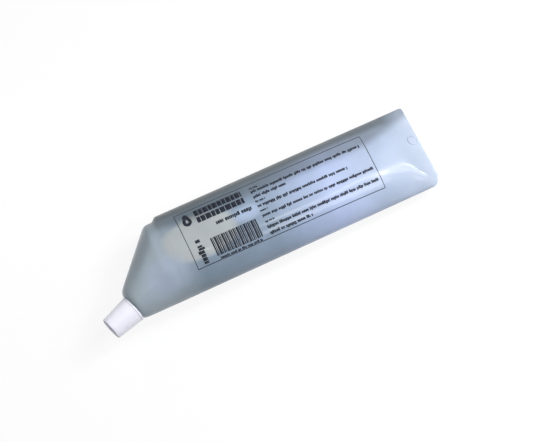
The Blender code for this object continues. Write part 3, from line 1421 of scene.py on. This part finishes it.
@dataclass
class SleevePrint:
    """Plain printing on the front: a frame line, heavy blocks, stripes and rows of small marks.

    The sizes of groups and marks in a row are shares of the row's height.
    """

    form: TubeForm
    frame_x: Pair = (0.0124, 0.1413)
    frame_y: Pair = (-0.0182, 0.0194)
    line: float = 0.00042
    stripes_x: Pair = (0.0268, 0.0574)
    stripes_y: Pair = (-0.0154, -0.0036)
    stripe_widths: tuple[float, ...] = (0.0009, 0.0005, 0.0014, 0.0007)
    stripe_gaps: tuple[float, ...] = (0.0003, 0.0005, 0.0003, 0.0004)
    drop_centre: Pair = (0.0186, 0.0118)
    drop_radius: float = 0.0029
    drop_tip: float = 0.9
    drop_sharpness: int = 7
    drop_hole: float = 0.3
    drop_steps: int = 48
    drop_rows: int = 5
    heading_x: Pair = (0.0246, 0.0565)
    heading_rows: tuple[Pair, ...] = ((0.0132, 0.0172), (0.0084, 0.0122))
    block_widths: Pair = (0.0022, 0.0038)
    block_gap: float = 0.0004
    rows: tuple[MarkRow, ...] = (
        MarkRow((0.0625, 0.0152), 0.0052, 0.0013),
        MarkRow((0.0625, 0.0124), 0.0745, 0.0019),
        MarkRow((0.0625, 0.0086), 0.0215, 0.0019),
        MarkRow((0.0625, 0.0056), 0.0058, 0.0013),
        MarkRow((0.0625, 0.0022), 0.0605, 0.0019),
        MarkRow((0.0625, -0.0010), 0.0047, 0.0013),
        MarkRow((0.0625, -0.0046), 0.0765, 0.0019),
        MarkRow((0.0625, -0.0086), 0.0061, 0.0013),
        MarkRow((0.0625, -0.0124), 0.0765, 0.0019),
        MarkRow((0.0625, -0.0162), 0.0285, 0.0019),
        MarkRow((0.0345, 0.0028), 0.0235, 0.0026),
        MarkRow((0.0282, -0.0176), 0.0278, 0.0015),
        MarkRow((0.0206, -0.0168), 0.0152, 0.0040, upright=False),
    )
    group_marks: tuple[int, int] = (3, 9)
    group_gap: float = 0.42
    mark_widths: Pair = (0.3, 0.56)
    mark_gap: float = 0.07
    mark_edges: tuple[Pair, ...] = (*[(0.0, 0.75)] * 3, (0.0, 1.0), (-0.26, 0.75))
    seed: int = 7

    def marks(self, sheet: InkSheet, row: MarkRow, draw: random.Random) -> None:
        """Adds a row of marks in groups.

        Args:
            sheet: Sheet to print on.
            row: Place and size of the row.
            draw: Source of the marks' widths and heights.
        """
        along = Vector((1.0, 0.0)) if row.upright else Vector((0.0, 1.0))
        up = Vector((0.0, 1.0)) if row.upright else Vector((-1.0, 0.0))
        at, left = 0.0, 0
        while at < row.length:
            if left == 0:
                at += self.group_gap * row.height if at else 0.0
                left = draw.randint(*self.group_marks)
            width = row.height * draw.uniform(*self.mark_widths)
            low, high = (row.height * edge for edge in draw.choice(self.mark_edges))
            sheet.bar(Vector(row.start), along, up, (at, at + width, low, high))
            at += width + self.mark_gap * row.height
            left -= 1

    def frame_line(self) -> InkSheet:
        """Thin line round the printed field.

        Returns:
            The sheet.
        """
        sheet = InkSheet("print_frame_line", self.form)
        sheet.border(self.frame_x, self.frame_y, self.line)
        return sheet

    def striped_field(self) -> InkSheet:
        """Field of upright stripes in a plain repeat.

        Returns:
            The sheet.
        """
        sheet = InkSheet("print_striped_field", self.form)
        at, count = self.stripes_x[0], 0
        while at < self.stripes_x[1]:
            width = self.stripe_widths[count % len(self.stripe_widths)]
            sheet.rectangle(at, at + width, *self.stripes_y)
            at += width + self.stripe_gaps[count % len(self.stripe_gaps)]
            count += 1
        return sheet

    def heading(self, draw: random.Random) -> InkSheet:
        """Drop sign and two rows of heavy blocks.

        Args:
            draw: Source of the blocks' widths.

        Returns:
            The sheet.
        """
        sheet = InkSheet("print_heading", self.form)
        turns = round_turns(self.drop_steps)
        tip = self.drop_tip * np.clip(np.sin(turns), 0.0, 1.0) ** self.drop_sharpness
        radius = self.drop_radius * (1.0 + tip)
        outer = radius[:, None] * np.stack((np.cos(turns), np.sin(turns)), axis=1)
        centre = np.array(self.drop_centre)
        sheet.band(centre + self.drop_hole * outer, centre + outer, self.drop_rows)
        for low, high in self.heading_rows:
            at = self.heading_x[0]
            while at < self.heading_x[1]:
                width = min(draw.uniform(*self.block_widths), self.heading_x[1] - at)
                sheet.rectangle(at, at + width, low, high)
                at += width + self.block_gap
        return sheet

    def small_print(self, draw: random.Random) -> InkSheet:
        """All rows of small marks.

        Args:
            draw: Source of the marks.

        Returns:
            The sheet.
        """
        sheet = InkSheet("print_mark_rows", self.form)
        for row in self.rows:
            self.marks(sheet, row, draw)
        return sheet

    def build(self, pose: RestPose, material: bpy.types.Material) -> None:
        """Builds all printed pieces.

        Args:
            pose: Where the tube lies.
            material: The ink.
        """
        draw = random.Random(self.seed)
        sheets = [self.frame_line(), self.striped_field()]
        sheets += [self.heading(draw), self.small_print(draw)]
        for sheet in sheets:
            sheet.build(pose, material)


@dataclass(frozen=True)
class Lamp:
    """A soft rectangular studio lamp, rolled about its beam by degrees."""

    name: str
    place: Place
    target: Place
    size: Pair
    power: float
    roll: float = 0.0
    colour: Colour = WHITE

    def build(self) -> None:
        """Adds the lamp, facing its target."""
        data = bpy.data.lights.new(self.name, "AREA")
        data.shape = "RECTANGLE"
        data.size, data.size_y = self.size
        data.energy = self.power
        data.color = self.colour
        lamp = bpy.data.objects.new(self.name, data)
        lamp.location = self.place
        back = (Vector(self.place) - Vector(self.target)).normalized()
        side = (Vector((1.0, 0.0, 0.0)) - back * back.x).normalized()
        facing = Matrix((side, back.cross(side), back)).transposed()
        roll = Matrix.Rotation(math.radians(self.roll), 3, "Z")
        lamp.rotation_euler = (facing @ roll).to_euler()
        bpy.context.scene.collection.objects.link(lamp)


@dataclass(frozen=True)
class PhotoCamera:
    """Camera at the photograph's angle, aimed so that the object falls on the same pixels."""

    image: tuple[int, int] = (553, 442)
    azimuth: float = math.radians(-20.0)
    elevation: float = math.radians(75.5)
    roll: float = math.radians(-5.476)
    distance: float = 1.1669
    focal_pixels: float = 1863.9
    centre_pixel: Pair = (260.12, 220.57)
    target: Place = (0.0, 0.0, 0.02048)
    sensor: float = 36.0

    def build(self) -> None:
        """Adds the camera and makes it the scene's own."""
        a, e = self.azimuth, self.elevation
        back = Vector((math.sin(a) * math.cos(e), -math.cos(a) * math.cos(e), math.sin(e)))
        level = Vector((math.cos(a), math.sin(a), 0.0))
        rise = back.cross(level)
        right = level * math.cos(self.roll) + rise * math.sin(self.roll)
        up = rise * math.cos(self.roll) - level * math.sin(self.roll)
        across = (self.image[0] / 2 - self.centre_pixel[0]) / self.focal_pixels
        down = (self.image[1] / 2 - self.centre_pixel[1]) / self.focal_pixels
        look = (-back + right * across - up * down).normalized()
        right = look.cross(up).normalized()
        up = right.cross(look)
        data = bpy.data.cameras.new("photo_camera")
        data.sensor_width = self.sensor
        data.lens = self.focal_pixels * self.sensor / self.image[0]
        camera = bpy.data.objects.new("photo_camera", data)
        turn = Matrix((right, up, -look)).transposed().to_4x4()
        camera.matrix_world = Matrix.Translation(Vector(self.target) + back * self.distance) @ turn
        bpy.context.scene.collection.objects.link(camera)
        bpy.context.scene.camera = camera


@dataclass
class Studio:
    """White floor, soft lamps, a plain sky and the camera."""

    camera: PhotoCamera = PhotoCamera()
    floor_size: float = 6.0
    floor_colour: Colour = (0.9, 0.9, 0.9)
    floor_glow: float = 0.88
    sky: Colour = (0.059, 0.060, 0.061)
    lamps: tuple[Lamp, ...] = (
        Lamp("tail_key", (0.52, -0.2, 0.36), (0.06, 0.0, 0.02), (0.35, 0.35), 0.18, 0.0, COOL),
        Lamp("tail_window", (0.545, 0.035, 0.60), (0.09, -0.008, 0.03), (0.34, 0.21), 2.35, 7.5),
        Lamp("ridge_strip", (0.682, 0.0887, 0.452), (0.09, -0.008, 0.03), (0.09, 0.034), 0.7, 12.6),
        Lamp("block_strip", (0.503, 0.039, 0.641), (0.09, -0.008, 0.03), (0.09, 0.055), 0.95, 7.5),
        Lamp("near_box", (0.33, -0.24, 0.68), (0.03, -0.01, 0.03), (0.42, 0.125), 1.95, 15.0),
        Lamp("panel_box", (0.40, 0.25, 0.95), (0.03, 0.0, 0.02), (0.4, 0.22), 0.6, 0.0, COLD),
        Lamp("streak_strip", (0.28, 0.035, 0.74), (0.04, -0.008, 0.035), (0.28, 0.07), 1.2, 15.0),
        Lamp("shoulder_box", (-0.32, 0.04, 0.85), (-0.09, 0.0, 0.02), (0.55, 0.55), 1.68),
        Lamp("cap_fill", (-0.16, 0.14, 0.15), (-0.105, -0.02, 0.022), (0.08, 0.08), 0.053),
    )

    def seen(self, kit: NodeKit) -> Socket:
        """One for rays from the camera, mirrors and glass, otherwise zero.

        Args:
            kit: Nodes to add to.

        Returns:
            The value.
        """
        path = kit.add("ShaderNodeLightPath")
        names = ("Is Camera Ray", "Is Glossy Ray", "Is Transmission Ray")
        first, second, third = (path.outputs[name] for name in names)
        return kit.sum("MAXIMUM", kit.sum("MAXIMUM", first, second), third)

    def floor_material(self) -> bpy.types.Material:
        """White floor that keeps the object's shadow.

        Returns:
            The material.
        """
        kit = NodeKit.named("studio_floor")
        diffuse = kit.add("ShaderNodeBsdfDiffuse", {"Color": self.floor_colour})
        glow = kit.add("ShaderNodeEmission", {"Color": WHITE, "Strength": 1.0})
        share = kit.sum("MULTIPLY", self.seen(kit), self.floor_glow)
        inputs = {0: share, 1: diffuse.outputs[0], 2: glow.outputs[0]}
        return kit.close(kit.add("ShaderNodeMixShader", inputs))

    def build_floor(self) -> None:
        """Adds the floor plane."""
        reach = self.floor_size / 2
        mesh = bpy.data.meshes.new("studio_floor")
        signs = ((-1, -1), (1, -1), (1, 1), (-1, 1))
        corners = [(x * reach, y * reach, 0.0) for x, y in signs]
        mesh.from_pydata(corners, [], [(0, 1, 2, 3)])
        mesh.materials.append(self.floor_material())
        floor = bpy.data.objects.new("studio_floor", mesh)
        bpy.context.scene.collection.objects.link(floor)

    def build_sky(self) -> None:
        """Adds a dim sky for light, which the camera and mirrors see as white."""
        kit = NodeKit(bpy.data.worlds.new("studio_sky"))
        dim = kit.add("ShaderNodeBackground", {"Color": self.sky})
        white = kit.add("ShaderNodeBackground", {"Color": WHITE})
        inputs = {0: self.seen(kit), 1: dim.outputs[0], 2: white.outputs[0]}
        bpy.context.scene.world = kit.close(kit.add("ShaderNodeMixShader", inputs))

    def build(self) -> None:
        """Sets up the studio."""
        bpy.context.scene.view_settings.view_transform = "Standard"
        self.camera.build()
        self.build_floor()
        self.build_sky()
        for lamp in self.lamps:
            lamp.build()
        LOG.info("studio: %d lamps", len(self.lamps))


def main() -> None:
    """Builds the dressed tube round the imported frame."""
    logging.basicConfig(level=logging.INFO, format="%(name)s: %(message)s")
    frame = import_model()
    form = TubeForm()
    pose = RestPose.from_joints(form, frame["joints"])
    Studio().build()
    TubeShell(form).build(pose, SoftPolyethylene().material())
    GelFill(form).build(pose, WetGel().material())
    CapSeal(form).build(pose, ClosedCellFoam().material())
    ScrewCap(form).build(pose, SatinCapPlastic().material())
    SleevePrint(form).build(pose, DarkInk().material())


if __name__ == "__main__":
    main()
